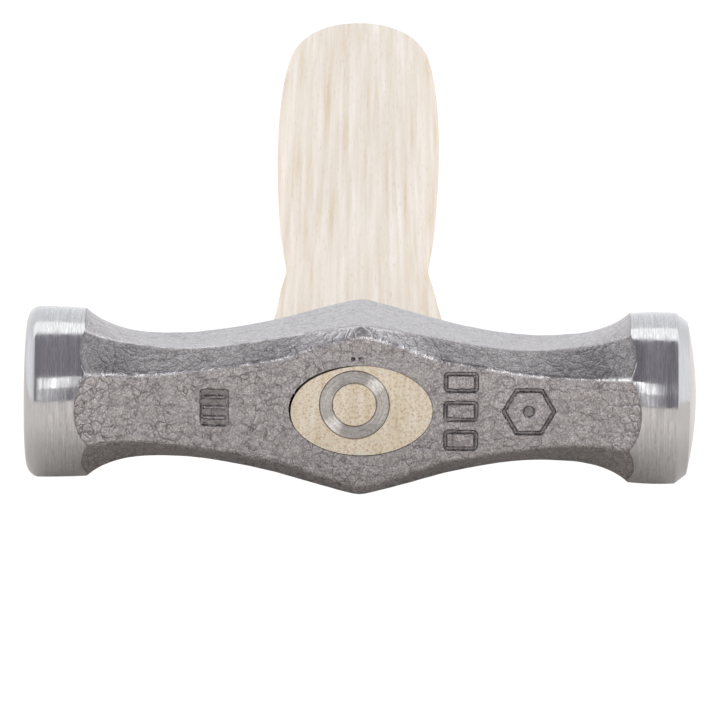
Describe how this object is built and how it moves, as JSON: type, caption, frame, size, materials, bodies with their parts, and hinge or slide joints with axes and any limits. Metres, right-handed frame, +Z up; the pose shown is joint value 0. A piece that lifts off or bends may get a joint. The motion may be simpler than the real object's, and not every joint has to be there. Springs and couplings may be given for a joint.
{
  "type": "double-faced hammer",
  "caption": "Hand hammer with a forged octagonal head, a flat and a slightly crowned round face, and an oval wooden handle held in the eye by a ring wedge.",
  "frame": {"origin": "middle of the bounding box in X and Y, at the level of the surface that the hammer lies on", "axes": "the hammer lies on its side: +X along the head from the flat face to the crowned face, +Y along the handle from the head to the butt, +Z up"},
  "size_m": [0.1098, 0.3028, 0.0284],
  "materials": {
    "forged_steel": "drop forged and blasted, with ground faces",
    "ash_wood": "pale ash, sanded smooth",
    "turned_steel": "turned, left bright"
  },
  "bodies": {
    "root": {"hammer_head": "forged_steel", "handle": "ash_wood", "ring_wedge": "turned_steel"}
  },
  "joints": []
}
